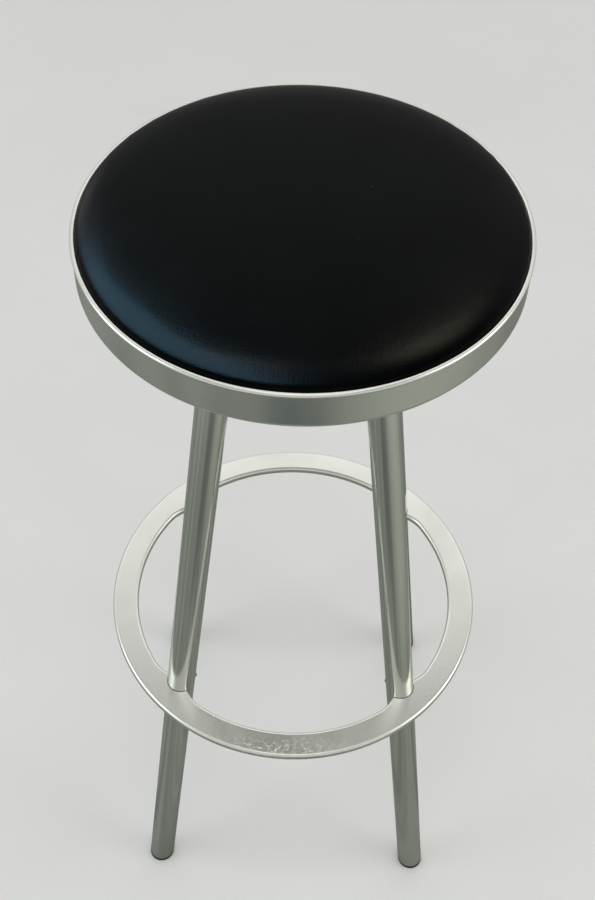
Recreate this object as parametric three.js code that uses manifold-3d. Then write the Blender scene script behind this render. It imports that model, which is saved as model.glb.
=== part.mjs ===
// Bar stool: a round padded seat in an aluminium pan, four splayed tube legs and a flat foot ring.
// Millimetres, +Z up. The origin is on the floor under the middle of the seat; the front is -Y.
// The pieces around a leg are modelled in the leg's own frame, where +X points away from the
// stool's axis, and a group turned about Z puts each set in its corner.

import * as THREE from 'three';
import { mergeVertices } from 'three/addons/utils/BufferGeometryUtils.js';
import Module from 'manifold-3d';

const wasm = await Module();
wasm.setup();

// ---- Driving dimensions ----

const RIM_HEIGHT = 786; // top of the pan's rolled lip above the floor
const SEAT_RADIUS = 160; // outside of the rolled lip
const CROWN = 7; // rise of the pad above the lip
const GAP = 0.3; // clearance between pieces that touch

const PAD_CLEARANCE = 0.4; // between the pad's side and the rolled lip
const PAD_ROLL = 6; // exponent of the pad's outline: higher is flatter with a tighter shoulder
const SKIRT_CHAMFER = 2; // lower corner of the pad's side

const PAN_DEPTH = 34; // top of the lip to the underside of the pan
const PAN_SHEET = 2;
const PAN_CORNER = 7; // outer radius between wall and floor
const LIP_BEAD = 2; // radius of the rolled lip
const LIP_OVERHANG = 0.6; // how far the lip stands out past the wall

const STIFFENER_RADIUS = 135;
const STIFFENER_THICKNESS = 4;
const BOARD_RADIUS = 149;
const BOARD_THICKNESS = 9;

const TUBE_RADIUS = 12.5;
const TUBE_WALL = 2;
const LEG_REACH_AT_RIM = 70; // stool axis to leg axis, at the height of the lip
const LEG_REACH_AT_FLOOR = 192;
const PLUG_LENGTH = 30;
const GLIDE_THICKNESS = 4;
const GLIDE_EDGE = 1; // bevel round the glide's underside
const GLIDE_STEM_TOP = 30; // height that the stem reaches inside the tube

const RING_RADIUS = 174; // outer edge of the foot ring
const RING_WIDTH = 24;
const RING_THICKNESS = 8;
const RING_EDGE = 3; // radius of the ring's rounded edges
const RING_TOP = 320; // height of the ring's standing face
const EAR_DEPTH = 6.5; // how far the ring's inner edge flares in at a leg
const EAR_REACH = 30; // how far along the ring the flare runs, to each side of a leg
const NOTCH_CLEARANCE = 0.4;

const BOLT = { shank: 4, length: 34, halfAcrossFlats: 6.5, height: 5.3 }; // M8 leg bolt
const PAD_SCREW = { shank: 3, length: 14, head: 6, height: 3.4, socket: 2 }; // M6
const RING_SCREW = { shank: 2.5, length: 34, head: 4.75, height: 2.8, socket: 1.5 }; // M5
const HOLE_CLEARANCE = 0.5; // radius of a bolt hole over its bolt
const PAD_SCREW_REACH = 115; // stool axis to pad screw
const WASHER_RADIUS = 8;
const WASHER_THICKNESS = 1.6;
const HEAD_HOLE_RADIUS = 11; // in the board, over a leg bolt's head
const INSERT_RADIUS = 5; // outside of a threaded insert in the board
const HEAD_STANDOFF = 1.2; // flat head of the ring screw off the round, leaning tube
const CROSS_HOLE_RADIUS = 3; // through the tube for the ring screw
const DRILL_DEPTH = 14; // ring screw hole, from the notch into the ring

const SEAT_FACETS = 64; // facets round the pan and the pad
const RING_FACETS = 80;
const TUBE_FACETS = 32;
const SCREW_FACETS = 16;

// ---- Heights and places that follow from them ----

const PAN_UNDERSIDE = RIM_HEIGHT - PAN_DEPTH;
const PAN_FLOOR = PAN_UNDERSIDE + PAN_SHEET;
const STIFFENER_BOTTOM = PAN_FLOOR + GAP;
const STIFFENER_TOP = STIFFENER_BOTTOM + STIFFENER_THICKNESS;
const BOARD_BOTTOM = STIFFENER_TOP + GAP;
const BOARD_TOP = BOARD_BOTTOM + BOARD_THICKNESS;
const WASHER_TOP = STIFFENER_TOP + GAP + WASHER_THICKNESS;
const TUBE_TOP = PAN_UNDERSIDE - GAP;
const TUBE_BOTTOM = GLIDE_THICKNESS + GAP;
const RING_MIDDLE = RING_TOP - RING_THICKNESS / 2;
const LEAN = (LEG_REACH_AT_RIM - LEG_REACH_AT_FLOOR) / RIM_HEIGHT; // outward run per unit of height
const LEAN_ANGLE = Math.atan(LEAN);
const TUBE_BORE = TUBE_RADIUS - TUBE_WALL;
const BOLT_REACH = legReach(TUBE_TOP - PLUG_LENGTH / 3);

const CORNERS = {
  front_left: (-3 * Math.PI) / 4,
  front_right: -Math.PI / 4,
  back_right: Math.PI / 4,
  back_left: (3 * Math.PI) / 4,
};
const SIDES = { front: -Math.PI / 2, right: 0, back: Math.PI / 2, left: Math.PI };

// ---- Materials ----

const aluminium = new THREE.MeshStandardMaterial({ color: 0xc3c5c1, roughness: 0.3, metalness: 1 });
const steel = new THREE.MeshStandardMaterial({ color: 0x9a9b9c, roughness: 0.35, metalness: 1 });
const blackSkin = new THREE.MeshStandardMaterial({ color: 0x121312, roughness: 0.55, metalness: 0 });
const blackPlastic = new THREE.MeshStandardMaterial({ color: 0x151515, roughness: 0.6, metalness: 0 });
const plywood = new THREE.MeshStandardMaterial({ color: 0xb08a5c, roughness: 0.8, metalness: 0 });

// ---- Helpers ----

/** Distance of a leg's axis from the stool's axis at height z. */
function legReach(z) {
  return LEG_REACH_AT_FLOOR + LEAN * z;
}

/** Turns a three.js geometry into a manifold solid. */
function solid(geometry) {
  const bare = geometry.clone();
  bare.deleteAttribute('normal');
  bare.deleteAttribute('uv');
  const merged = mergeVertices(bare, 1e-4);
  const mesh = new wasm.Mesh({
    numProp: 3,
    vertProperties: Float32Array.from(merged.attributes.position.array),
    triVerts: Uint32Array.from(merged.index.array),
  });
  return new wasm.Manifold(mesh);
}

/** Turns a manifold solid back into a three.js geometry. */
function geometryOf(body) {
  const { vertProperties, triVerts } = body.getMesh();
  const geometry = new THREE.BufferGeometry();
  geometry.setAttribute('position', new THREE.BufferAttribute(vertProperties, 3));
  geometry.setIndex(new THREE.BufferAttribute(triVerts, 1));
  geometry.computeVertexNormals();
  return geometry;
}

/** Cuts a list of tool geometries out of a geometry. */
function cut(geometry, tools) {
  let body = solid(geometry);
  for (const tool of tools) body = body.subtract(solid(tool));
  return geometryOf(body);
}

/** A body of revolution about Z, from [radius, height] points that start and end on the axis. */
function turned(points, facets) {
  const profile = points.map(([r, z]) => new THREE.Vector2(r, z));
  return new THREE.LatheGeometry(profile, facets).rotateX(Math.PI / 2);
}

/** Points of an arc in [radius, height], angles in degrees from the outward direction. */
function arc(centreR, centreZ, radius, fromDegrees, toDegrees, parts) {
  return Array.from({ length: parts + 1 }, (_, i) => {
    const angle = THREE.MathUtils.degToRad(fromDegrees + ((toDegrees - fromDegrees) * i) / parts);
    return [centreR + radius * Math.cos(angle), centreZ + radius * Math.sin(angle)];
  });
}

/** An upright cylinder from height low to high, standing at distance reach along +X. */
function upright(radius, low, high, reach = 0, facets = SCREW_FACETS) {
  const cylinder = new THREE.CylinderGeometry(radius, radius, high - low, facets);
  return cylinder.rotateX(Math.PI / 2).translate(reach, 0, (low + high) / 2);
}

/** A level cylinder along +X, centred at the given place. */
function level(radius, length, x, z) {
  const cylinder = new THREE.CylinderGeometry(radius, radius, length, SCREW_FACETS);
  return cylinder.rotateZ(Math.PI / 2).translate(x, 0, z);
}

/** A cylinder that leans with the leg, with level ends: its level section is an ellipse. */
function leaning(radius, low, high, boreRadius = 0) {
  const outline = ellipsePoints(radius);
  const shape = new THREE.Shape(outline);
  if (boreRadius > 0) shape.holes.push(new THREE.Path(ellipsePoints(boreRadius)));
  const geometry = new THREE.ExtrudeGeometry(shape, { depth: high - low, bevelEnabled: false });
  const shear = new THREE.Matrix4().set(1, 0, LEAN, 0, 0, 1, 0, 0, 0, 0, 1, 0, 0, 0, 0, 1);
  return geometry.translate(0, 0, low).applyMatrix4(shear).translate(LEG_REACH_AT_FLOOR, 0, 0);
}

/** The level section of a leaning cylinder. */
function ellipsePoints(radius) {
  return Array.from({ length: TUBE_FACETS }, (_, i) => {
    const angle = (2 * Math.PI * i) / TUBE_FACETS;
    return new THREE.Vector2((radius / Math.cos(LEAN_ANGLE)) * Math.cos(angle), radius * Math.sin(angle));
  });
}

/** Copies of a geometry turned about Z to each of the given angles. */
function repeatedAt(angles, geometry) {
  return Object.values(angles).map((angle) => geometry.clone().rotateZ(angle));
}

/** A socket screw along Z: its shank runs down from zero, its domed head stands up from zero. */
function screw({ shank, length, head, height, socket }) {
  const side = height / 3; // straight part of the head under the dome
  const domeTop = 60; // degrees up the dome at which it turns flat
  const domeHeight = (height - side) / Math.sin(THREE.MathUtils.degToRad(domeTop));
  const dome = arc(0, 0, 1, 0, domeTop, 3).map(([x, y]) => [head * x, side + domeHeight * y]);
  const points = [[0, -length], [shank, -length], [shank, 0], [head, 0], ...dome, [0, height]];
  const recess = new THREE.CylinderGeometry(socket, socket, height, 6).rotateX(Math.PI / 2);
  return cut(turned(points, SCREW_FACETS), [recess.translate(0, 0, height)]);
}

/** A hexagon-head bolt along Z, with its head standing up from zero. */
function hexBolt({ shank, length, halfAcrossFlats, height }) {
  const corner = halfAcrossFlats / Math.cos(Math.PI / 6);
  const head = new THREE.CylinderGeometry(corner, corner, height, 6).rotateX(Math.PI / 2);
  const shaft = upright(shank, -length, height / 2);
  return geometryOf(solid(head.translate(0, 0, height / 2)).add(solid(shaft)));
}

function named(name, geometry, material) {
  const mesh = new THREE.Mesh(geometry, material);
  mesh.name = name;
  return mesh;
}

// ---- Seat ----

/** Spun pan: level floor, rounded corner, upright wall and a rolled lip. */
function seatPan() {
  const wall = SEAT_RADIUS - LIP_OVERHANG;
  const inside = wall - PAN_SHEET;
  const lipR = SEAT_RADIUS - LIP_BEAD;
  const lipZ = RIM_HEIGHT - LIP_BEAD;
  const outerMeet = THREE.MathUtils.radToDeg(Math.acos((wall - lipR) / LIP_BEAD));
  const innerMeet = THREE.MathUtils.radToDeg(Math.acos((inside - lipR) / LIP_BEAD));
  const innerCorner = PAN_CORNER - PAN_SHEET;
  const profile = [
    [0, PAN_UNDERSIDE],
    ...arc(wall - PAN_CORNER, PAN_UNDERSIDE + PAN_CORNER, PAN_CORNER, -90, 0, 3),
    ...arc(lipR, lipZ, LIP_BEAD, -outerMeet, 360 - innerMeet, 7),
    ...arc(inside - innerCorner, PAN_FLOOR + innerCorner, innerCorner, 0, -90, 2),
    [0, PAN_FLOOR],
  ];
  return cut(turned(profile, SEAT_FACETS), seatHoles(PAN_UNDERSIDE - 1, PAN_FLOOR + 1));
}

/** Tools for the holes of the leg bolts and the pad screws, between two heights. */
function seatHoles(low, high) {
  const boltHole = upright(BOLT.shank + HOLE_CLEARANCE, low, high, BOLT_REACH);
  const screwHole = upright(PAD_SCREW.shank + HOLE_CLEARANCE, low, high, PAD_SCREW_REACH);
  return [...repeatedAt(CORNERS, boltHole), ...repeatedAt(SIDES, screwHole)];
}

/** Flat plate on the pan floor that spreads the load of the legs. */
function panStiffener() {
  const plate = upright(STIFFENER_RADIUS, STIFFENER_BOTTOM, STIFFENER_TOP, 0, SEAT_FACETS / 2);
  return cut(plate, seatHoles(STIFFENER_BOTTOM - 1, STIFFENER_TOP + 1));
}

/** Board moulded into the pad, with clearance for the bolt heads and holes for the inserts. */
function padBoard() {
  const board = upright(BOARD_RADIUS, BOARD_BOTTOM, BOARD_TOP, 0, SEAT_FACETS / 2);
  const low = BOARD_BOTTOM - 1;
  const high = BOARD_TOP + 1;
  const headHole = upright(HEAD_HOLE_RADIUS, low, high, BOLT_REACH);
  const insertHole = upright(INSERT_RADIUS + GAP, low, high, PAD_SCREW_REACH);
  return cut(board, [...repeatedAt(CORNERS, headHole), ...repeatedAt(SIDES, insertHole)]);
}

/** Threaded insert in the board. */
function boardInsert() {
  const sleeve = upright(INSERT_RADIUS, BOARD_BOTTOM + GAP, BOARD_TOP - GAP, PAD_SCREW_REACH);
  const bore = upright(PAD_SCREW.shank + GAP, BOARD_BOTTOM, BOARD_TOP, PAD_SCREW_REACH);
  return cut(sleeve, [bore]);
}

/** Foam pad: a skirt round the board, then a broad shoulder that rolls over into a shallow crown. */
function seatPad() {
  const edge = SEAT_RADIUS - 2 * LIP_BEAD - PAD_CLEARANCE;
  const top = arc(0, 0, 1, 0, 75, 6).map(([x, y]) => [
    edge * x ** (2 / PAD_ROLL),
    RIM_HEIGHT + CROWN * y,
  ]);
  const profile = [
    [0, BOARD_TOP + GAP],
    [BOARD_RADIUS + GAP, BOARD_TOP + GAP],
    [BOARD_RADIUS + GAP, BOARD_BOTTOM],
    [edge - SKIRT_CHAMFER, BOARD_BOTTOM],
    [edge, BOARD_BOTTOM + 2 * SKIRT_CHAMFER],
    ...top,
    [0, RIM_HEIGHT + CROWN],
  ];
  return turned(profile, SEAT_FACETS);
}

// ---- Leg ----

/** Tube with level ends and a cross hole for the ring screw. */
function legTube() {
  const tube = leaning(TUBE_RADIUS, TUBE_BOTTOM, TUBE_TOP, TUBE_BORE);
  return cut(tube, [level(CROSS_HOLE_RADIUS, 3 * TUBE_RADIUS, legReach(RING_MIDDLE), RING_MIDDLE)]);
}

/** Threaded plug in the top of a tube. */
function legPlug() {
  const low = TUBE_TOP - PLUG_LENGTH;
  const plug = leaning(TUBE_BORE - GAP, low, TUBE_TOP);
  return cut(plug, [upright(BOLT.shank + GAP, low - 1, TUBE_TOP + 1, BOLT_REACH)]);
}

/** Level plastic foot with a stem that leans up into the tube. */
function glide() {
  const flat = TUBE_RADIUS - GLIDE_EDGE;
  const side = [[TUBE_RADIUS, GLIDE_EDGE], [TUBE_RADIUS, GLIDE_THICKNESS]];
  const foot = turned([[0, 0], [flat, 0], ...side, [0, GLIDE_THICKNESS]], TUBE_FACETS);
  const stem = leaning(TUBE_BORE - GAP, GLIDE_THICKNESS / 2, GLIDE_STEM_TOP);
  return geometryOf(solid(foot.translate(legReach(GLIDE_THICKNESS), 0, 0)).add(solid(stem)));
}

/** Washer under a leg bolt's head. */
function washer() {
  const low = STIFFENER_TOP + GAP;
  const disc = upright(WASHER_RADIUS, low, WASHER_TOP, BOLT_REACH);
  return cut(disc, [upright(BOLT.shank + HOLE_CLEARANCE, low - 1, WASHER_TOP + 1, BOLT_REACH)]);
}

/** One corner: the leg and everything fixed to it, placed by turning the group. */
function corner(name, angle) {
  const group = new THREE.Group();
  const bolt = named(`leg_bolt_${name}`, hexBolt(BOLT), steel);
  bolt.position.set(BOLT_REACH, 0, WASHER_TOP + GAP);
  const ringScrew = named(`ring_screw_${name}`, screw(RING_SCREW), steel);
  ringScrew.position.set(legReach(RING_MIDDLE) - TUBE_RADIUS - HEAD_STANDOFF, 0, RING_MIDDLE);
  ringScrew.rotation.y = -Math.PI / 2;
  group.add(
    named(`leg_${name}`, legTube(), aluminium),
    named(`leg_plug_${name}`, legPlug(), aluminium),
    named(`glide_${name}`, glide(), blackPlastic),
    named(`leg_washer_${name}`, washer(), steel),
    bolt,
    ringScrew,
  );
  group.rotation.z = angle;
  return group;
}

// ---- Foot ring ----

/** Radius of the ring's inner edge at an angle: round, with a flare towards each leg. */
function innerRadius(angle) {
  const round = RING_RADIUS - RING_WIDTH;
  const quarter = Math.PI / 2;
  const fromLeg = Math.abs((((angle % quarter) + quarter) % quarter) - quarter / 2);
  const nearness = THREE.MathUtils.clamp(1 - (fromLeg * round) / EAR_REACH, 0, 1);
  return round - EAR_DEPTH * THREE.MathUtils.smoothstep(nearness, 0, 1);
}

/** Angles round the ring, close together where the inner edge flares. */
function ringAngles() {
  const flare = EAR_REACH / (RING_RADIUS - RING_WIDTH);
  const plain = Math.PI / 4 - flare; // from the middle of a side to the start of a flare
  return Object.values(CORNERS).flatMap((leg) => [
    ...steps(leg - flare - plain, leg - flare, 5),
    ...steps(leg - flare, leg + flare, 14),
    ...steps(leg + flare, leg + flare + plain, 5),
  ]);
}

/** Evenly spaced values from start up to, but not including, end. */
function steps(start, end, count) {
  return Array.from({ length: count }, (_, i) => start + ((end - start) * i) / count);
}

/** Flat bar ring with rounded edges, notched round the legs and drilled for the ring screws. */
function footRing() {
  const outline = new THREE.Shape().absarc(0, 0, RING_RADIUS, 0, 2 * Math.PI);
  const inner = ringAngles().map((angle) => {
    const radius = innerRadius(angle);
    return new THREE.Vector2(radius * Math.cos(angle), radius * Math.sin(angle));
  });
  outline.holes.push(new THREE.Path(inner));
  const bar = new THREE.ExtrudeGeometry(outline, {
    depth: RING_THICKNESS - 2 * RING_EDGE,
    bevelThickness: RING_EDGE,
    bevelSize: RING_EDGE,
    bevelOffset: -RING_EDGE,
    bevelSegments: 2,
    curveSegments: RING_FACETS / 2,
  }).translate(0, 0, RING_TOP - RING_THICKNESS + RING_EDGE);
  const notch = leaning(TUBE_RADIUS + NOTCH_CLEARANCE, RING_TOP - 2 * RING_THICKNESS, RING_TOP + 1);
  const notchFace = legReach(RING_MIDDLE) + TUBE_RADIUS;
  const drill = level(RING_SCREW.shank + NOTCH_CLEARANCE, 2 * DRILL_DEPTH, notchFace, RING_MIDDLE);
  return cut(bar, [...repeatedAt(CORNERS, notch), ...repeatedAt(CORNERS, drill)]);
}

// ---- Assembly ----

const stool = new THREE.Group();

stool.add(
  named('seat_pad', seatPad(), blackSkin),
  named('pad_board', padBoard(), plywood),
  named('pan_stiffener', panStiffener(), aluminium),
  named('seat_pan', seatPan(), aluminium),
  named('foot_ring', footRing(), aluminium),
);

for (const [name, angle] of Object.entries(CORNERS)) stool.add(corner(name, angle));

for (const [name, angle] of Object.entries(SIDES)) {
  const side = new THREE.Group();
  const padScrew = named(`pad_screw_${name}`, screw(PAD_SCREW), steel);
  padScrew.position.set(PAD_SCREW_REACH, 0, PAN_UNDERSIDE - GAP);
  padScrew.rotation.x = Math.PI; // head down, shank up into the insert
  side.add(padScrew, named(`board_insert_${name}`, boardInsert(), steel));
  side.rotation.z = angle;
  stool.add(side);
}

export default stool;
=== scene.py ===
"""Looks of a bar stool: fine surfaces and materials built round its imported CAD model.

Metres, +Z up, the front is -Y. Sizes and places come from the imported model, so every piece sits
where its CAD node does. Each leg's pieces are made in the leg's own frame, in which +X points away
from the stool's axis, and then turned into their corner.
"""

import math

import bmesh
import bpy
import numpy as np
from mathutils import Matrix, Vector, kdtree, noise


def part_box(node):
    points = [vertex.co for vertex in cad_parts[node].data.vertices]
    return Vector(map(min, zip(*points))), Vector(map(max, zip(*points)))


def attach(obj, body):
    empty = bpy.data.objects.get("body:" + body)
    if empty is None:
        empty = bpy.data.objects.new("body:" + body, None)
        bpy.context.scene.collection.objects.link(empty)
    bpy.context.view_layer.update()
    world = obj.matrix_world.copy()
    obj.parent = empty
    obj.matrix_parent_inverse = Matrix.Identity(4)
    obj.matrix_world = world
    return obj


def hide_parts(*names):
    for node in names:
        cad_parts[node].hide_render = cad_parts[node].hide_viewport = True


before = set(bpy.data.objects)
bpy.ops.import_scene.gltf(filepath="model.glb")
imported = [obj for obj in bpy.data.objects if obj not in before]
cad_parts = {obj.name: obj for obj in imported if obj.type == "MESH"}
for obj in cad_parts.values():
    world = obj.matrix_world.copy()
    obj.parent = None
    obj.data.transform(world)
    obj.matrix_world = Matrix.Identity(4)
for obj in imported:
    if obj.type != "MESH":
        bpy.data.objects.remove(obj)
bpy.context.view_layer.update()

MM = 0.001
MERGE_DISTANCE = 0.003 * MM
CORNERS = {"front_left": -135, "front_right": -45, "back_right": 45, "back_left": 135}
SIDES = {"front": -90, "right": 0, "back": 90, "left": 180}


# ---- Places read from the CAD nodes ----


def points_of(node):
    """A CAD node's vertices as an array."""
    return np.array([v.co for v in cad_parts[node].data.vertices])


def outward(azimuth):
    """Level unit vector at an azimuth in degrees."""
    angle = math.radians(azimuth)
    return Vector((math.cos(angle), math.sin(angle), 0))


def span(node, direction):
    """Least and greatest reach of a CAD node along a direction."""
    reach = points_of(node) @ np.array(direction)
    return reach.min(), reach.max()


def end_reach(node, height, azimuth):
    """Distance of a leg's axis from the stool's axis at one of its level ends."""
    points = points_of(node)
    slack = 0.01 * MM
    end = points[np.abs(points[:, 2] - height) < slack]
    return float(Vector(end.mean(axis=0)).dot(outward(azimuth)))


RIM_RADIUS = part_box("seat_pan")[1].x
RIM_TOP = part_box("seat_pan")[1].z
PAN_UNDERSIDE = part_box("seat_pan")[0].z
PAD_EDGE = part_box("seat_pad")[1].x
PAD_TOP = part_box("seat_pad")[1].z
PAD_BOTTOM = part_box("seat_pad")[0].z
BOARD_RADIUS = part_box("pad_board")[1].x
BOARD_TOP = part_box("pad_board")[1].z
TUBE_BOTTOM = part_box("leg_front_right")[0].z
TUBE_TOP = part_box("leg_front_right")[1].z
LEG_REACH_LOW = end_reach("leg_front_right", TUBE_BOTTOM, CORNERS["front_right"])
LEG_REACH_HIGH = end_reach("leg_front_right", TUBE_TOP, CORNERS["front_right"])
TUBE_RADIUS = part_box("glide_front_right")[1].x - LEG_REACH_LOW / math.sqrt(2)  # and a glide's
GLIDE_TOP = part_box("glide_front_right")[1].z
RING_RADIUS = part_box("foot_ring")[1].x
RING_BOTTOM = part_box("foot_ring")[0].z
RING_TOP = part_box("foot_ring")[1].z
RING_MIDDLE = (RING_BOTTOM + RING_TOP) / 2
LEAN = (LEG_REACH_HIGH - LEG_REACH_LOW) / (TUBE_TOP - TUBE_BOTTOM)  # outward run per unit of height

# Sizes that a box doesn't show
GAP = 0.3 * MM  # clearance between pieces that touch
PAN_SHEET = 2 * MM
PAN_CORNER = 7 * MM
PAD_SCREW_HOLE = 3.5 * MM  # radius
LEG_BOLT_HOLE = 4.5 * MM
LIP_BEAD = 2 * MM
LIP_OVERHANG = 0.6 * MM
TUBE_WALL = 2 * MM
RING_SCREW_HOLE = 3 * MM
RING_WIDTH = 24 * MM
RING_EDGE = 3 * MM  # radius of its rounded edges
EAR_DEPTH = 6.5 * MM  # how far the ring's inner edge flares in at a leg
EAR_REACH = 30 * MM  # how far along the ring the flare runs, to each side of a leg
NOTCH_CLEARANCE = 0.4 * MM

# How finely the meshes are made
SHARP = 35  # degrees: an edge bent by more than this stays crisp
TUBE_SEGMENTS = 96
DRILL_SEGMENTS = 32
SCREW_SEGMENTS = 48

# Names of the pieces that some lights single out
PAD = "seat_cushion"
PAN = "seat_pan_spun"


def leg_reach(height):
    """Distance of a leg's axis from the stool's axis at a height."""
    return LEG_REACH_LOW + LEAN * (height - TUBE_BOTTOM)


def leg_frame(azimuth):
    """Matrix that leans a body standing on the Z axis along a leg, and turns it into its corner."""
    width_when_level = math.hypot(1, LEAN)
    lean = Matrix((
        (width_when_level, 0, LEAN, leg_reach(0)),
        (0, 1, 0, 0),
        (0, 0, 1, 0),
        (0, 0, 0, 1),
    ))
    return Matrix.Rotation(math.radians(azimuth), 4, "Z") @ lean


def level_frame(azimuth, reach, height):
    """Matrix that lays a body standing on the Z axis level, so that it points outward."""
    turn = Matrix.Rotation(math.radians(azimuth), 4, "Z")
    return turn @ Matrix.Translation((reach, 0, height)) @ Matrix.Rotation(math.pi / 2, 4, "Y")


# ---- Mesh helpers ----


def arc(centre_r, centre_z, radius, start, end, parts):
    """Points of an arc in [radius, height], angles in degrees from the outward direction."""
    angles = np.radians(np.linspace(start, end, parts + 1))
    return [(centre_r + radius * math.cos(a), centre_z + radius * math.sin(a)) for a in angles]


def smooth_step(value, low, high):
    """Zero below low, one above high, smooth between."""
    share = min(max((value - low) / (high - low), 0.0), 1.0)
    return share * share * (3 - 2 * share)


def bell(distance, width):
    """One at no distance, falling off smoothly over a width."""
    return math.exp(-((distance / width) ** 2))


def new_piece(name, vertices, faces, matrix=Matrix.Identity(4)):
    """A mesh object in the row frame."""
    mesh = bpy.data.meshes.new(name)
    mesh.from_pydata([matrix @ Vector(v) for v in vertices], [], faces)
    piece = bpy.data.objects.new(name, mesh)
    bpy.context.scene.collection.objects.link(piece)
    return piece


def turned(name, profile, segments, matrix=Matrix.Identity(4)):
    """A body of revolution about Z. The profile starts and ends on the axis, or closes on itself."""
    vertices = []
    rings = []
    for radius, height in profile:
        count = segments if radius > 0 else 1
        rings.append([len(vertices) + i for i in range(count)])
        for i in range(count):
            angle = 2 * math.pi * i / segments
            vertices.append((radius * math.cos(angle), radius * math.sin(angle), height))
    pairs = list(zip(rings, rings[1:]))
    if len(rings[0]) > 1:
        pairs.append((rings[-1], rings[0]))
    faces = []
    for lower, upper in pairs:
        for i in range(segments):
            j = (i + 1) % segments
            corners = [
                lower[i % len(lower)],
                lower[j % len(lower)],
                upper[j % len(upper)],
                upper[i % len(upper)],
            ]
            faces.append(list(dict.fromkeys(corners)))
    return new_piece(name, vertices, faces, matrix)


def cylinder_outline(radius, low, high):
    """Profile of a plain cylinder between two heights."""
    return [(0, low), (radius, low), (radius, high), (0, high)]


def shade(piece, sharp_angle=SHARP):
    """Smooth shading with the normals facing out. Edges over the sharp angle stay crisp."""
    body = bmesh.new()
    body.from_mesh(piece.data)
    bmesh.ops.recalc_face_normals(body, faces=body.faces)
    body.to_mesh(piece.data)
    body.free()
    piece.data.shade_smooth()
    piece.data.set_sharp_from_angle(angle=math.radians(sharp_angle))


def flatten_shading(piece):
    """Lets large faces lead the smooth shading, so that flats next to roundings look flat."""
    modifier = piece.modifiers.new("flats", "WEIGHTED_NORMAL")
    modifier.keep_sharp = True
    modifier.weight = 100
    apply_modifiers(piece)


def apply_modifiers(piece):
    """Bakes a piece's modifiers into its mesh."""
    evaluated = piece.evaluated_get(bpy.context.evaluated_depsgraph_get())
    mesh = bpy.data.meshes.new_from_object(evaluated)
    piece.modifiers.clear()
    piece.data = mesh


def merge_close(piece):
    """Merges points that coincide and drops the faces and edges that this empties."""
    body = bmesh.new()
    body.from_mesh(piece.data)
    bmesh.ops.remove_doubles(body, verts=body.verts, dist=MERGE_DISTANCE)
    bmesh.ops.dissolve_degenerate(body, edges=body.edges, dist=MERGE_DISTANCE)
    body.to_mesh(piece.data)
    body.free()


def cut(piece, cutters):
    """Cuts other pieces out of a piece and deletes them."""
    for cutter in cutters:
        modifier = piece.modifiers.new("cut", "BOOLEAN")
        modifier.operation = "DIFFERENCE"
        modifier.solver = "EXACT"
        modifier.object = cutter
    apply_modifiers(piece)
    merge_close(piece)
    for cutter in cutters:
        bpy.data.objects.remove(cutter)


def soften(piece, width, angle, segments):
    """Rounds the edges that are sharper than an angle."""
    modifier = piece.modifiers.new("soften", "BEVEL")
    modifier.width = width
    modifier.segments = segments
    modifier.limit_method = "ANGLE"
    modifier.angle_limit = math.radians(angle)
    apply_modifiers(piece)
    merge_close(piece)


def finish_piece(piece, look, nodes, sharp_angle=SHARP):
    """Shades a new piece, gives it its material and slot, and puts it in place of its CAD nodes."""
    shade(piece, sharp_angle)
    flatten_shading(piece)
    piece.data.materials.clear()
    piece.data.materials.append(look)
    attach(piece, "root")
    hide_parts(*nodes)


# ---- Materials ----


class Nodes:
    """A shader node tree under construction. Most methods add one node and return its output."""

    def __init__(self, tree):
        self.tree = tree

    def feed(self, socket, value):
        """Links an output to a socket, or sets the socket to a plain value."""
        if isinstance(value, bpy.types.NodeSocket):
            self.tree.links.new(value, socket)
        else:
            socket.default_value = value

    def add(self, kind, inputs, output=0, **settings):
        """Adds a node of any kind, with its inputs and settings."""
        node = self.tree.nodes.new("ShaderNode" + kind)
        for key, value in settings.items():
            setattr(node, key, value)
        for key, value in inputs.items():
            self.feed(node.inputs[key], value)
        return node.outputs[output]

    def place(self, stretch=(1, 1, 1), turn=(0, 0, 0)):
        """The point's place in metres, turned and stretched."""
        place = self.add("TexCoord", {}, "Object")
        return self.add("Mapping", {"Vector": place, "Rotation": turn, "Scale": stretch})

    def split(self, vector):
        """The X, Y and Z of a vector."""
        return self.add("SeparateXYZ", {0: vector}, slice(None))

    def noise(self, place, scale, detail=2.0, distortion=0.0):
        inputs = {"Vector": place, "Scale": scale, "Detail": detail, "Distortion": distortion}
        return self.add("TexNoise", inputs)

    def cells(self, place, scale):
        """Distance to the nearest of scattered points."""
        return self.add("TexVoronoi", {"Vector": place, "Scale": scale}, "Distance")

    def ramp(self, value, low, high, to_low=0.0, to_high=1.0):
        """Maps low..high to to_low..to_high, clamped."""
        ends = {"Value": value, "From Min": low, "From Max": high, "To Min": to_low, "To Max": to_high}
        return self.add("MapRange", ends)

    def math(self, operation, a, b=0.0):
        return self.add("Math", {0: a, 1: b}, operation=operation)

    def length(self, vector):
        return self.add("VectorMath", {0: vector}, "Value", operation="LENGTH")

    def mix(self, factor, colour_a, colour_b):
        return self.add("MixRGB", {"Fac": factor, "Color1": colour_a, "Color2": colour_b})

    def bump(self, height, depth, under=None):
        """Relief of the given depth in metres, on top of another relief."""
        inputs = {"Height": height, "Distance": depth, "Strength": 1.0}
        if under is not None:
            inputs["Normal"] = under
        return self.add("Bump", inputs)

    def scratches(self, turn):
        """Mask of short fine lines in one direction, in patches."""
        line = self.noise(self.place((2200, 26, 26), turn), 1.0, 1.0)
        patch = self.noise(self.place(), 24.0, 2.0)
        return self.math("MULTIPLY", self.ramp(line, 0.62, 0.68), self.ramp(patch, 0.5, 0.62))


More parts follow.
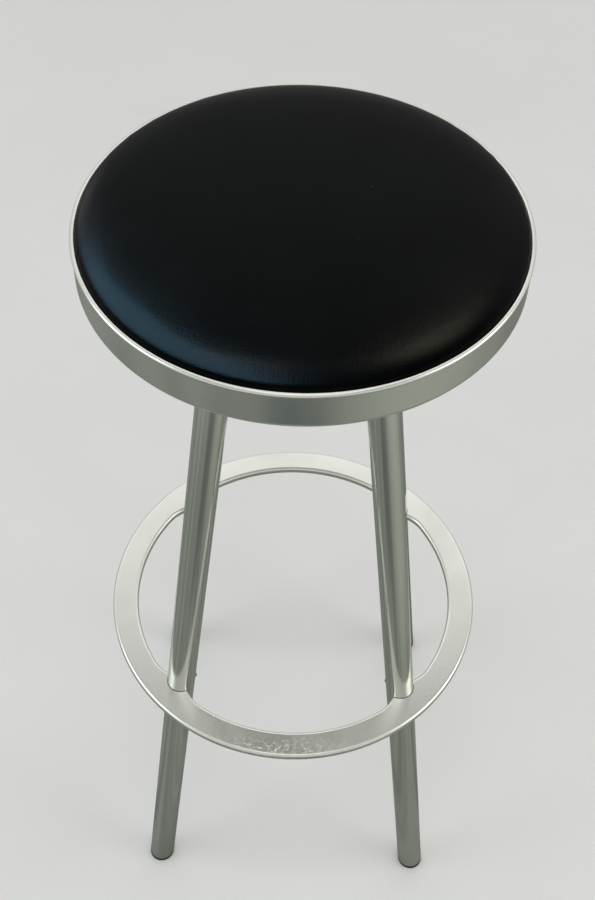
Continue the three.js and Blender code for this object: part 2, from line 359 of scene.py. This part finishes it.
class Look(Nodes):
    """A material under construction."""

    def __init__(self, name):
        self.material = bpy.data.materials.new(name)
        self.material.use_nodes = True
        super().__init__(self.material.node_tree)
        self.surface = self.tree.nodes["Principled BSDF"]

    def set(self, **inputs):
        """Sets inputs of the surface shader by name, with _ for a space."""
        for key, value in inputs.items():
            self.feed(self.surface.inputs[key.replace("_", " ")], value)
        return self.material


def grey(value, warm=0.0):
    """A colour near neutral; a positive warmth lowers the blue."""
    return (value * (1 + warm), value, value * (1 - warm), 1)


def tinted(value):
    """The faint yellow-green of clear anodising."""
    return (value, 1.01 * value, 0.955 * value, 1)


def pad_skin():
    """Black moulded skin: fine pebble grain, faint handling marks and a little dust."""
    look = Look("pad_skin")
    place = look.place()
    grain = look.cells(place, 1100.0)
    pores = look.noise(place, 800.0, 3.0)
    handling = look.noise(place, 14.0, 4.0)
    dust = look.ramp(look.cells(place, 95.0), 0.05, 0.03)
    dust = look.math("MULTIPLY", dust, look.ramp(look.noise(place, 11.0), 0.6, 0.68))
    clean = (0.0005, 0.0006, 0.0006, 1)
    handled = (0.0014, 0.0015, 0.0014, 1)
    tone = look.mix(look.ramp(handling, 0.35, 0.7), clean, handled)
    tone = look.mix(dust, tone, grey(0.05))
    relief = look.bump(grain, 0.02 * MM)
    relief = look.bump(pores, 0.1 * MM, relief)
    roughness = look.ramp(handling, 0.3, 0.75, 0.19, 0.24)
    return look.set(Base_Color=tone, Roughness=roughness, Specular_IOR_Level=0.055, Normal=relief)


def satin_aluminium(name, tone, roughness, flow, scratched, wear=0.0, stretch=0.0):
    """Anodised aluminium.

    Flow gives the place, stretched along the way the metal was drawn or spun. Scratched is how
    strongly fine scratches show, and wear is the depth of the knocks. Stretch draws the highlights
    out upright.
    """
    look = Look(name)
    look.set(Metallic=1.0)
    place = look.place()
    smudge = look.noise(place, 18.0, 5.0, 0.4)
    streak = look.noise(flow(look), 1.0, 2.0)
    marks = look.math("MAXIMUM", look.scratches((0, 0, 0.5)), look.scratches((0.3, 0.2, 2.1)))
    colour = look.mix(look.ramp(smudge, 0.35, 0.7), tinted(tone), tinted(0.94 * tone))
    rough = look.ramp(smudge, 0.3, 0.75, 0.85 * roughness, 1.3 * roughness)
    rough = look.math("MULTIPLY", rough, look.ramp(streak, 0.3, 0.7, 0.95, 1.05))
    rough = look.math("ADD", rough, look.math("MULTIPLY", marks, 0.1 * scratched))
    relief = look.bump(streak, 0.0001 * MM)
    relief = look.bump(marks, -0.001 * MM * scratched, relief)
    if wear > 0:
        scuffs, relief = worn(look, relief, wear)
        colour = look.mix(scuffs, colour, grey(0.92))
        rough = look.math("ADD", rough, look.math("MULTIPLY", scuffs, 0.22))
        look.set(Metallic=look.ramp(scuffs, 0.0, 1.0, 1.0, 0.2))
    if stretch > 0:
        look.set(Anisotropic=stretch, Tangent=look.add("CombineXYZ", {"Z": 1.0}))
    return look.set(Base_Color=colour, Roughness=rough, Normal=relief)


def worn(look, relief, depth):
    """Small knocks where the wear painted on the mesh is high: their mask and their relief."""
    zone = look.add("Attribute", {}, "Fac", attribute_name="wear")
    chips = look.ramp(look.noise(look.place((1, 1, 2.5)), 420.0, 2.0, 1.2), 0.56, 0.66)
    knocks = look.math("MULTIPLY", chips, zone)
    return knocks, look.bump(knocks, -depth, relief)


def drawn_along_leg(look):
    """Faint lines along a tube, which is close to upright."""
    return look.place((900, 900, 9))


def spun(look):
    """Faint lines round the stool's axis."""
    x, y, z = look.split(look.add("TexCoord", {}, "Object"))
    squares = look.math("ADD", look.math("MULTIPLY", x, x), look.math("MULTIPLY", y, y))
    radius = look.math("SQRT", squares)
    fineness = 900.0
    parts = {"X": look.math("MULTIPLY", radius, fineness), "Y": look.math("MULTIPLY", z, fineness)}
    return look.add("CombineXYZ", parts)


def tumbled(look):
    """An even fine finish with no direction."""
    return look.place((1400, 1400, 1400))


def zinc_steel():
    """Bright zinc plating with cloudy passivation."""
    look = Look("zinc_steel")
    cloud = look.noise(look.place(), 160.0, 4.0, 0.6)
    fine = look.noise(look.place(), 3000.0, 2.0)
    colour = look.mix(look.ramp(cloud, 0.35, 0.7), (0.50, 0.51, 0.53, 1), (0.58, 0.56, 0.50, 1))
    rough = look.ramp(cloud, 0.3, 0.7, 0.24, 0.4)
    return look.set(Base_Color=colour, Metallic=1.0, Roughness=rough, Normal=look.bump(fine, 0.01 * MM))


def mill_aluminium():
    """Unfinished plate and bar, with rolling lines."""
    look = Look("mill_aluminium")
    lines = look.noise(look.place((1800, 30, 600)), 1.0, 3.0)
    stain = look.noise(look.place(), 30.0, 3.0)
    colour = look.mix(look.ramp(stain, 0.3, 0.7), grey(0.6), grey(0.5, 0.02))
    rough = look.ramp(lines, 0.3, 0.7, 0.3, 0.48)
    return look.set(Base_Color=colour, Metallic=1.0, Roughness=rough, Normal=look.bump(lines, 0.01 * MM))


def plywood():
    """Raw birch ply: stretched grain on the faces and dark and light layers on the edge."""
    look = Look("plywood")
    grain = look.noise(look.place((14, 420, 14)), 1.0, 5.0, 1.5)
    layers = look.noise(look.place((0.5, 0.5, 900)), 1.0, 0.0)
    face = look.mix(look.ramp(grain, 0.35, 0.65), (0.62, 0.45, 0.27, 1), (0.44, 0.29, 0.15, 1))
    colour = look.mix(look.ramp(layers, 0.5, 0.56, 0.0, 0.5), face, (0.30, 0.19, 0.10, 1))
    return look.set(Base_Color=colour, Roughness=0.78, Normal=look.bump(grain, 0.06 * MM))


def glide_plastic():
    """Black moulded plastic, spark-eroded finish, scuffed grey near the floor."""
    look = Look("glide_plastic")
    texture = look.noise(look.place(), 2400.0, 3.0)
    _, _, height = look.split(look.place())
    low = look.ramp(height, 2.2 * MM, 0.0)
    scuff = look.math("MULTIPLY", low, look.ramp(look.noise(look.place(), 300.0, 3.0), 0.4, 0.7))
    colour = look.mix(scuff, grey(0.012), grey(0.07, 0.05))
    return look.set(Base_Color=colour, Roughness=0.55, Normal=look.bump(texture, 0.02 * MM))


# ---- Seat ----

ROLL = 7.5  # exponent of the unfilled pad's outline: lower is a broader shoulder
PAD_CHAMFER = 2 * MM
SWELL_CAP = 0.3 * MM  # how far the foam rises where the simulated bag rises most
FULL_SWELL = 2.2 * MM  # rise of the simulated bag that counts as most
HELD_BELOW = RIM_TOP - 1 * MM  # the pan holds the simulated bag below this height
PAD_FLAT = PAD_TOP - 0.4 * MM  # top of the unfilled pad in the middle
PAD_SEGMENTS = 192
LIP_CLEARANCE = RIM_RADIUS - 2 * LIP_BEAD - PAD_EDGE  # between the skin and the lip's bead
SKIN_EDGE = RIM_RADIUS - LIP_BEAD - math.sqrt((LIP_BEAD + LIP_CLEARANCE) ** 2 - LIP_BEAD**2)
EDGE_WANDER = 0.6 * MM  # how far in from the lip the skin's edge strays
EDGE_BAND = 2.5 * MM  # width of the skin that strays with it
EDGE_WAVE = 9 * MM  # length of its waves


def pad_rise(fraction):
    """Height of the unfilled top over the rim, at a fraction of the radius."""
    return (PAD_FLAT - RIM_TOP) * math.sqrt(1 - fraction**ROLL)


def pad_profile():
    """Outline of the unfilled pad: board socket, skirt inside the pan, lap over the lip, flat top."""
    socket = BOARD_RADIUS + GAP
    skirt_low = PAD_BOTTOM + 2 * PAD_CHAMFER
    skirt_high = RIM_TOP - LIP_BEAD
    profile = [(0, BOARD_TOP + GAP), (socket, BOARD_TOP + GAP), (socket, PAD_BOTTOM)]
    profile += [(PAD_EDGE - PAD_CHAMFER, PAD_BOTTOM)]
    profile += [(PAD_EDGE, z) for z in np.linspace(skirt_low, skirt_high, 8)]
    lap = math.degrees(math.asin(LIP_BEAD / (LIP_BEAD + LIP_CLEARANCE)))
    profile += arc(RIM_RADIUS - LIP_BEAD, skirt_high, LIP_BEAD + LIP_CLEARANCE, 180, 180 - lap, 6)[1:]
    rows = 56
    crowding = 2.2  # over one, this sets the rows closer together towards the edge
    for i in range(1, rows):
        fraction = 1 - (i / rows) ** crowding
        profile.append((SKIN_EDGE * fraction, RIM_TOP + pad_rise(fraction)))
    return profile + [(0, PAD_FLAT)]


def blown_up(shape):
    """Simulates a copy of the pad as a filled bag held in its pan. Returns points and their moves."""
    bag = bpy.data.objects.new("bag", shape.data.copy())
    bpy.context.scene.collection.objects.link(bag)
    remesh = bag.modifiers.new("remesh", "REMESH")
    remesh.mode = "VOXEL"
    remesh.voxel_size = 4.5 * MM
    apply_modifiers(bag)
    held = bag.vertex_groups.new(name="held")
    inside = [v.index for v in bag.data.vertices if v.co.z < HELD_BELOW]
    held.add(inside, 1.0, "REPLACE")
    before = np.array([v.co for v in bag.data.vertices])
    cloth = bag.modifiers.new("cloth", "CLOTH")
    cloth.settings.vertex_group_mass = "held"
    cloth.settings.use_pressure = True
    cloth.settings.uniform_pressure_force = 4.0
    cloth.settings.effector_weights.gravity = 0
    cloth.settings.tension_stiffness = 15
    cloth.settings.bending_stiffness = 2
    last_frame = 20
    cloth.point_cache.frame_end = last_frame
    for step in range(1, last_frame + 1):
        bpy.context.scene.frame_set(step)
    apply_modifiers(bag)
    after = np.array([v.co for v in bag.data.vertices])
    bpy.data.objects.remove(bag)
    bpy.context.scene.frame_set(1)
    return before, after - before


def swell(piece, before, moves):
    """Moves the top of the fine pad as the simulated bag moved, smoothed and capped."""
    reach = 26 * MM
    lowest = HELD_BELOW - 2 * MM
    tree = kdtree.KDTree(len(before))
    for index, point in enumerate(before):
        if point[2] > lowest:
            tree.insert(point, index)
    tree.balance()
    for vertex in piece.data.vertices:
        if vertex.co.z < RIM_TOP:
            continue
        near = tree.find_range(vertex.co, 1.8 * reach)
        weights = np.array([bell(distance, reach) for _, _, distance in near])
        move = weights @ moves[[index for _, index, _ in near]] / weights.sum()
        vertex.co.z += SWELL_CAP * smooth_step(move[2], 0, FULL_SWELL)


def stray_edge(piece):
    """Makes the skin's edge against the lip slightly uneven, as moulded skin is."""
    for vertex in piece.data.vertices:
        radius = math.hypot(vertex.co.x, vertex.co.y)
        if vertex.co.z < RIM_TOP - LIP_BEAD or radius < SKIN_EDGE - EDGE_BAND:
            continue
        wave = 0.5 + noise.noise(Vector((vertex.co.x, vertex.co.y, 0)) / EDGE_WAVE)
        inward = EDGE_WANDER * wave * smooth_step(radius, SKIN_EDGE - EDGE_BAND, SKIN_EDGE)
        vertex.co.x *= 1 - inward / radius
        vertex.co.y *= 1 - inward / radius


def hold_corners(piece):
    """Keeps the pad's corners inside the pan in place when its mesh is subdivided."""
    creases = piece.data.edge_creases_ensure().data
    for edge in piece.data.edges:
        inside = all(piece.data.vertices[i].co.z < HELD_BELOW for i in edge.vertices)
        creases[edge.index].value = 1.0 if edge.use_edge_sharp and inside else 0.0


def seat_cushion(look):
    """The foam pad, filled out by cloth simulation, with the skin's uneven edge against the lip."""
    piece = turned(PAD, pad_profile(), PAD_SEGMENTS)
    shade(piece)
    before, moves = blown_up(piece)
    swell(piece, before, moves)
    hold_corners(piece)
    finer = piece.modifiers.new("finer", "SUBSURF")
    finer.levels = 1
    apply_modifiers(piece)
    stray_edge(piece)
    finish_piece(piece, look, ["seat_pad"], 50)


def pan_outline():
    """Outline of the spun pan: level floor, rounded corner, upright wall and rolled lip."""
    wall = RIM_RADIUS - LIP_OVERHANG
    inside = wall - PAN_SHEET
    lip_r = RIM_RADIUS - LIP_BEAD
    lip_z = RIM_TOP - LIP_BEAD
    outer_meet = math.degrees(math.acos((wall - lip_r) / LIP_BEAD))
    inner_meet = math.degrees(math.acos((inside - lip_r) / LIP_BEAD))
    inner_corner = PAN_CORNER - PAN_SHEET
    floor_top = PAN_UNDERSIDE + PAN_SHEET
    floor_rings = 6
    outline = [(r, PAN_UNDERSIDE) for r in np.linspace(0, wall - PAN_CORNER, floor_rings)[:-1]]
    outline += arc(wall - PAN_CORNER, PAN_UNDERSIDE + PAN_CORNER, PAN_CORNER, -90, 0, 10)
    outline += arc(lip_r, lip_z, LIP_BEAD, -outer_meet, 360 - inner_meet, 20)
    outline += arc(inside - inner_corner, floor_top + inner_corner, inner_corner, 0, -90, 8)
    return outline + [(r, floor_top) for r in np.linspace(inside - inner_corner, 0, floor_rings)[1:]]


def seat_pan(look):
    """The spun pan, with holes for the pad screws and the leg bolts.

    It is turned by half a segment, so that no hole starts exactly on one of its edges.
    """
    segments = 256
    piece = turned(PAN, pan_outline(), segments, Matrix.Rotation(math.pi / segments, 4, "Z"))
    holes = {f"pad_screw_{side}": PAD_SCREW_HOLE for side in SIDES}
    holes |= {f"leg_bolt_{corner}": LEG_BOLT_HOLE for corner in CORNERS}
    cutters = []
    for node, radius in holes.items():
        low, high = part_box(node)
        x, y, _ = (low + high) / 2
        outline = cylinder_outline(radius, PAN_UNDERSIDE - MM, PAN_UNDERSIDE + PAN_SHEET + MM)
        cutters.append(turned("drill", outline, DRILL_SEGMENTS, Matrix.Translation((x, y, 0))))
    shade(piece)
    cut(piece, cutters)
    finish_piece(piece, look, ["seat_pan"])


# ---- Legs ----


def tube_outline():
    """Closed outline of a leg tube's wall, with eased edges."""
    ease = 0.5 * MM
    rows = 48
    bore = TUBE_RADIUS - TUBE_WALL
    low = TUBE_BOTTOM + ease
    high = TUBE_TOP - ease
    outline = arc(TUBE_RADIUS - ease, low, ease, -90, 0, 3)[:-1]
    outline += [(TUBE_RADIUS, z) for z in np.linspace(low, high, rows)]
    outline += arc(TUBE_RADIUS - ease, high, ease, 0, 90, 3)[1:]
    outline += arc(bore + ease, high, ease, 90, 180, 3)
    outline += arc(bore + ease, low, ease, 180, 270, 3)
    return outline


def leg(corner, azimuth, look):
    """A drawn tube with level ends and a cross hole for the ring screw."""
    piece = turned(f"leg_tube_{corner}", tube_outline(), TUBE_SEGMENTS, leg_frame(azimuth))
    across = level_frame(azimuth, leg_reach(RING_MIDDLE), RING_MIDDLE)
    drill = cylinder_outline(RING_SCREW_HOLE, -2 * TUBE_RADIUS, 2 * TUBE_RADIUS)
    shade(piece)
    cut(piece, [turned("drill", drill, DRILL_SEGMENTS, across)])
    finish_piece(piece, look, [f"leg_{corner}"])


def glide(corner, azimuth, look):
    """Moulded foot with a stem up into the tube."""
    edge = 1 * MM
    fillet = 0.4 * MM
    shoulder = TUBE_BOTTOM - GAP
    stem = TUBE_RADIUS - TUBE_WALL - GAP
    outline = [(0, 0)] + arc(TUBE_RADIUS - edge, edge, edge, -90, 0, 5)
    outline += arc(TUBE_RADIUS - edge / 2, shoulder - edge / 2, edge / 2, 0, 90, 4)
    outline += [(stem + fillet, shoulder), (stem, shoulder + fillet), (stem, GLIDE_TOP - edge)]
    outline += [(stem - edge, GLIDE_TOP), (0, GLIDE_TOP)]
    piece = turned(f"glide_foot_{corner}", outline, TUBE_SEGMENTS, leg_frame(azimuth))
    finish_piece(piece, look, [f"glide_{corner}"])


# ---- Screws ----


# Radii of the head, the shank and the socket, and the head's height
RING_SCREW = {"head": 4.75 * MM, "height": 2.8 * MM, "shank": 2.5 * MM, "socket": 1.5 * MM}
PAD_SCREW = {"head": 6 * MM, "height": 3.4 * MM, "shank": 3 * MM, "socket": 2 * MM}


def button_screw(name, size, length, matrix):
    """A domed socket screw: the head stands up from zero and the shank runs down from it."""
    head = size["head"]
    height = size["height"]
    shank = size["shank"]
    side = height / 3  # the upright part of the head, under its dome
    dome_end = 62  # degrees of arc
    dome_height = (height - side) / math.sin(math.radians(dome_end))
    point = 0.6 * MM
    ease = 0.3 * MM
    outline = [(0, -length), (shank - point, -length), (shank, point - length)]
    outline += [(shank, -ease), (shank + ease, 0), (head - ease, 0), (head, ease)]
    for x, y in arc(0, 0, 1, 0, dome_end, 8):
        outline.append((head * x, side + dome_height * y))
    outline += [(0, height)]
    piece = turned(name, outline, SCREW_SEGMENTS, matrix)
    socket_floor = 0.45 * height
    socket = cylinder_outline(size["socket"], socket_floor, 2 * height)
    cut(piece, [turned("recess", socket, 6, matrix)])
    soften(piece, 0.12 * MM, 50, 2)
    return piece


def ring_screw(corner, azimuth, look):
    """Holds the ring to a leg, with its head on the inner side of the tube."""
    node = f"ring_screw_{corner}"
    head_top, tip = span(node, outward(azimuth))
    seat = head_top + RING_SCREW["height"]
    head_inward = level_frame(azimuth, seat, RING_MIDDLE) @ Matrix.Rotation(math.pi, 4, "Y")
    piece = button_screw(f"ring_bolt_{corner}", RING_SCREW, tip - seat, head_inward)
    finish_piece(piece, look, [node])


def pad_screw(side, look):
    """Holds the pad down from under the pan."""
    node = f"pad_screw_{side}"
    low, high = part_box(node)
    middle = (low + high) / 2
    seat = low.z + PAD_SCREW["height"]
    matrix = Matrix.Translation((middle.x, middle.y, seat)) @ Matrix.Rotation(math.pi, 4, "X")
    piece = button_screw(f"pad_bolt_{side}", PAD_SCREW, high.z - seat, matrix)
    finish_piece(piece, look, [node])


# ---- Foot ring ----

FRONT_KNOCKS = -92  # azimuth of the middle of the knocked stretch in front
FRONT_KNOCKS_SPREAD = 22
BACK_KNOCKS = 91
BACK_KNOCKS_SPREAD = 4


def inner_radius(angle):
    """Radius of the ring's inner edge at an angle: round, with a flare towards each leg."""
    round_part = RING_RADIUS - RING_WIDTH
    quarter = math.pi / 2
    from_leg = abs(angle % quarter - quarter / 2)
    return round_part - EAR_DEPTH * smooth_step(from_leg * round_part, EAR_REACH, 0)


def ring_section(inner, outer):
    """Closed section of the bar, with rounded edges."""
    low = RING_BOTTOM + RING_EDGE
    high = RING_TOP - RING_EDGE
    parts = 6
    section = arc(outer - RING_EDGE, low, RING_EDGE, -90, 0, parts)
    section += arc(outer - RING_EDGE, high, RING_EDGE, 0, 90, parts)
    section += arc(inner + RING_EDGE, high, RING_EDGE, 90, 180, parts)
    section += arc(inner + RING_EDGE, low, RING_EDGE, 180, 270, parts)
    return section


def ring_notch(azimuth):
    """Cutter for the notch that a leg stands in."""
    over = 6 * MM
    outline = cylinder_outline(TUBE_RADIUS + NOTCH_CLEARANCE, RING_BOTTOM - over, RING_TOP + over)
    return turned("notch", outline, TUBE_SEGMENTS, leg_frame(azimuth))


def ring_drill(corner, azimuth):
    """Cutter for the hole that a ring screw runs into."""
    _, tip = span(f"ring_screw_{corner}", outward(azimuth))
    outline = cylinder_outline(RING_SCREW["shank"] + GAP, leg_reach(RING_MIDDLE), tip + GAP)
    return turned("drill", outline, DRILL_SEGMENTS, level_frame(azimuth, 0, RING_MIDDLE))


def foot_ring(look):
    """Flat bar ring with rounded edges, flared and notched round the legs."""
    segments = 480
    vertices = []
    for i in range(segments):
        angle = 2 * math.pi * i / segments
        for radius, height in ring_section(inner_radius(angle), RING_RADIUS):
            vertices.append((radius * math.cos(angle), radius * math.sin(angle), height))
    count = len(vertices) // segments
    faces = []
    for i in range(segments):
        j = (i + 1) % segments
        for k in range(count):
            m = (k + 1) % count
            faces.append([i * count + k, j * count + k, j * count + m, i * count + m])
    piece = new_piece("foot_ring_bar", vertices, faces)
    shade(piece)
    cutters = []
    for corner, azimuth in CORNERS.items():
        cutters += [ring_notch(azimuth), ring_drill(corner, azimuth)]
    cut(piece, cutters)
    soften(piece, 0.7 * MM, 42, 3)
    mark_wear(piece)
    finish_piece(piece, look, ["foot_ring"])


def mark_wear(piece):
    """Paints where feet knock the ring: along the front outer edge and at one spot at the back."""
    wear = piece.data.attributes.new("wear", "FLOAT", "POINT")
    for vertex in piece.data.vertices:
        x, y, z = vertex.co
        azimuth = math.degrees(math.atan2(y, x))
        radius = math.hypot(x, y)
        outer = smooth_step(radius, RING_RADIUS - 6 * MM, RING_RADIUS - 2 * MM)
        front = bell(azimuth - FRONT_KNOCKS, FRONT_KNOCKS_SPREAD) * outer
        back = bell(azimuth - BACK_KNOCKS, BACK_KNOCKS_SPREAD)
        above = smooth_step(z, RING_MIDDLE - 2 * MM, RING_TOP - MM)
        wear.data[vertex.index].value = max(front, 0.8 * back) * above


# ---- Studio ----

SENSOR = 36  # millimetres, along the picture's long side
LENS = 51.09  # millimetres
CAMERA_PLACE = (3.6 * MM, -675 * MM, 1369.2 * MM)
CAMERA_PITCH = 50.972  # degrees below level
CAMERA_YAW = -0.284
CAMERA_ROLL = 1.538
BACK_WALL = 0.85  # brightness of the room behind the stool
FRONT_WALL = 0.6  # behind the camera
HORIZON = 0.70  # where the floor melts into the walls
OVERHEAD = 0.14  # and overhead
ROOM_TINT = (1, 1, 0.97, 1)
WHITE = (1.0, 1.0, 0.98)  # light from a plain lamp


def camera():
    """The photograph's viewpoint."""
    data = bpy.data.cameras.new("camera")
    data.lens = LENS
    data.sensor_width = SENSOR
    view = bpy.data.objects.new("camera", data)
    bpy.context.scene.collection.objects.link(view)
    yaw = Matrix.Rotation(math.radians(-CAMERA_YAW), 4, "Z")
    pitch = Matrix.Rotation(math.radians(90 - CAMERA_PITCH), 4, "X")
    roll = Matrix.Rotation(math.radians(CAMERA_ROLL), 4, "Z")
    view.matrix_world = Matrix.Translation(CAMERA_PLACE) @ yaw @ pitch @ roll
    bpy.context.scene.camera = view


def soft_light(name, place, target, size, power, colour, only=None, spared=(PAD,)):
    """A soft box that isn't itself in the picture. It lights one piece only, or all but a few.

    Its size is in metres and its power in watts.
    """
    data = bpy.data.lights.new(name, "AREA")
    data.shape = "ELLIPSE" if only else "RECTANGLE"
    data.size, data.size_y = size
    data.energy = power
    data.color = colour
    box = bpy.data.objects.new(name, data)
    box.location = place
    box.rotation_mode = "QUATERNION"
    box.rotation_quaternion = (Vector(target) - Vector(place)).to_track_quat("-Z", "Y")
    box.visible_camera = False
    bpy.context.scene.collection.objects.link(box)
    linked = bpy.data.collections.new(name + "_linked")
    for piece_name in (only,) if only else spared:
        linked.objects.link(bpy.data.objects[piece_name])
    for entry in linked.collection_objects:
        entry.light_linking.link_state = "INCLUDE" if only else "EXCLUDE"
    box.light_linking.receiver_collection = linked


def floor_look():
    """Plain pale paint that melts into the surround far out.

    In the metal's reflections it shows a painted reflection colour instead, darker and uneven, with a
    painted pool of light and a painted shadow, so that bright metal keeps its contrast on a pale floor.
    """
    look = Look("studio_floor")
    place = look.place()
    tone = look.noise(place, 3.0, 4.0)
    pale = look.mix(look.ramp(tone, 0.3, 0.7), grey(0.8), grey(0.84))
    # Glossy rays see the painted reflection colour, all other rays the pale paint
    colour = look.mix(look.add("LightPath", {}, "Is Glossy Ray"), pale, painted_floor_reflection(look, place))
    fine = look.noise(place, 500.0, 3.0)
    relief = look.bump(fine, 0.03 * MM)
    look.set(Base_Color=colour, Roughness=0.6, Specular_IOR_Level=0.2, Normal=relief)
    glow = look.add("Emission", {"Color": ROOM_TINT, "Strength": HORIZON})
    far = look.ramp(look.length(place), 0.9, 2.4)
    blended = look.add("MixShader", {0: far, 1: look.surface.outputs[0], 2: glow})
    look.feed(look.tree.nodes["Material Output"].inputs["Surface"], blended)
    return look.material


def painted_floor_reflection(look, place):
    """Painted reflection colour of the floor, seen only by the metal's reflections: grey-green with
    streaks away from the stool, a painted pool of light to the right and a painted shadow in front.
    """
    around = look.add("VectorMath", {0: place}, operation="NORMALIZE")
    streaks = look.ramp(look.noise(around, 3.4, 1.0), 0.38, 0.62)
    colour = look.mix(streaks, (0.19, 0.205, 0.19, 1), (0.28, 0.30, 0.275, 1))
    away = look.ramp(look.length(place), 0.45, 0.65)
    # Painted light to the right and painted shade in front, seen only in reflections
    painted_light_pool = (-33, 0.25, (0.38, 0.41, 0.36, 1))
    painted_shadow_patch = (-93, 0.05, (0.12, 0.14, 0.135, 1))
    for azimuth, spread, tone in (painted_light_pool, painted_shadow_patch):
        ends = {0: around, 1: outward(azimuth)}
        facing = look.add("VectorMath", ends, "Value", operation="DOT_PRODUCT")
        patch = look.ramp(facing, 1 - spread, 1)
        colour = look.mix(look.math("MULTIPLY", patch, away), colour, tone)
    return colour


def floor():
    """A round pale floor."""
    angles = np.radians(np.arange(0, 360, 5))
    radius = 8
    edge = [(radius * math.cos(a), radius * math.sin(a), 0) for a in angles]
    piece = new_piece("studio_floor", edge, [list(range(len(edge)))])
    piece.data.materials.append(floor_look())


def surround():
    """A pale room, dimmer towards the front and overhead.

    It is painted on the sky, by the direction in which the sky is seen.
    """
    world = bpy.data.worlds.new("surround")
    world.use_nodes = True
    sky = Nodes(world.node_tree)
    _, y, z = sky.split(sky.add("TexCoord", {}, "Generated"))
    walls = sky.ramp(y, -0.6, 0.2, FRONT_WALL, BACK_WALL)
    above_horizon = sky.ramp(z, 0.1, 0.5, HORIZON, walls)
    brightness = sky.ramp(z, 0.70, 0.74, above_horizon, OVERHEAD)
    background = sky.tree.nodes["Background"]
    sky.feed(background.inputs["Strength"], brightness)
    sky.feed(background.inputs["Color"], ROOM_TINT)
    bpy.context.scene.world = world


def seat_lights():
    """Boxes close to the seat that draw the band on the pad's shoulder and fill the lip."""
    cool = (0.36, 0.72, 1.0)
    warm = (1.0, 0.98, 0.75)
    left = (-0.1, -0.1, RIM_TOP)
    middle = (0, -0.14, RIM_TOP)
    right = (0.1, -0.1, RIM_TOP)
    soft_light("window_left", (-0.39, 0.27, 1.65), left, (0.44, 1.0), 13, cool, only=PAD)
    soft_light("window_left_low", (-0.66, 0.75, 1.21), left, (0.3, 0.3), 0.56, WHITE, only=PAD)
    soft_light("window_middle", (-0.13, 0.32, 1.67), middle, (0.22, 0.16), 0.4, WHITE, only=PAD)
    soft_light("window_right", (0.30, 0.41, 1.62), right, (0.22, 0.22), 1.05, warm, only=PAD)
    soft_light("rim_light", (0, 0.75, 2.3), (0, 0, RIM_TOP), (2.2, 1.3), 5, WHITE, only=PAN)


def room_lights():
    """Large boxes overhead for the ring, and tall ones that draw the legs' bright lines."""
    ring = (0, 0, RING_TOP)
    rim = (0, 0, RIM_TOP)
    soft_light("overhead", (0, -0.2, 3.0), ring, (3.0, 1.6), 8.5, WHITE)
    soft_light("overhead_front", (0, -1.0, 2.8), ring, (1.5, 1.5), 6, WHITE)
    soft_light("overhead_back", (0, 1.45, 2.05), ring, (2.8, 1.1), 7.4, WHITE, spared=(PAD, PAN))
    soft_light("side_left", (-1.9, -0.4, 1.5), rim, (1.4, 1.7), 12, (0.9, 0.98, 1.0))
    soft_light("side_right", (1.9, -0.4, 1.5), rim, (1.4, 1.7), 12, (1.0, 0.99, 0.92))


def studio():
    """The floor, the room and its lights."""
    floor()
    surround()
    seat_lights()
    room_lights()
    bpy.context.scene.view_settings.view_transform = "Standard"


# ---- Assembly ----


def dress(node, look):
    """Gives a CAD node that stays its own material."""
    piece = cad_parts[node]
    piece.data.materials.clear()
    piece.data.materials.append(look)


def build_stool():
    """Every piece of the stool in its material."""
    tube_metal = satin_aluminium("tube_metal", 0.78, 0.12, drawn_along_leg, 0.4, stretch=0.6)
    steel = zinc_steel()
    mill = mill_aluminium()
    plastic = glide_plastic()
    seat_cushion(pad_skin())
    seat_pan(satin_aluminium("pan_metal", 0.76, 0.24, spun, 0.15))
    foot_ring(satin_aluminium("ring_metal", 0.82, 0.3, tumbled, 1.0, wear=0.06 * MM))
    dress("pad_board", plywood())
    dress("pan_stiffener", mill)
    for corner, azimuth in CORNERS.items():
        leg(corner, azimuth, tube_metal)
        glide(corner, azimuth, plastic)
        ring_screw(corner, azimuth, steel)
        dress(f"leg_plug_{corner}", mill)
        dress(f"leg_bolt_{corner}", steel)
        dress(f"leg_washer_{corner}", steel)
    for side in SIDES:
        pad_screw(side, steel)
        dress(f"board_insert_{side}", steel)


build_stool()
camera()
studio()
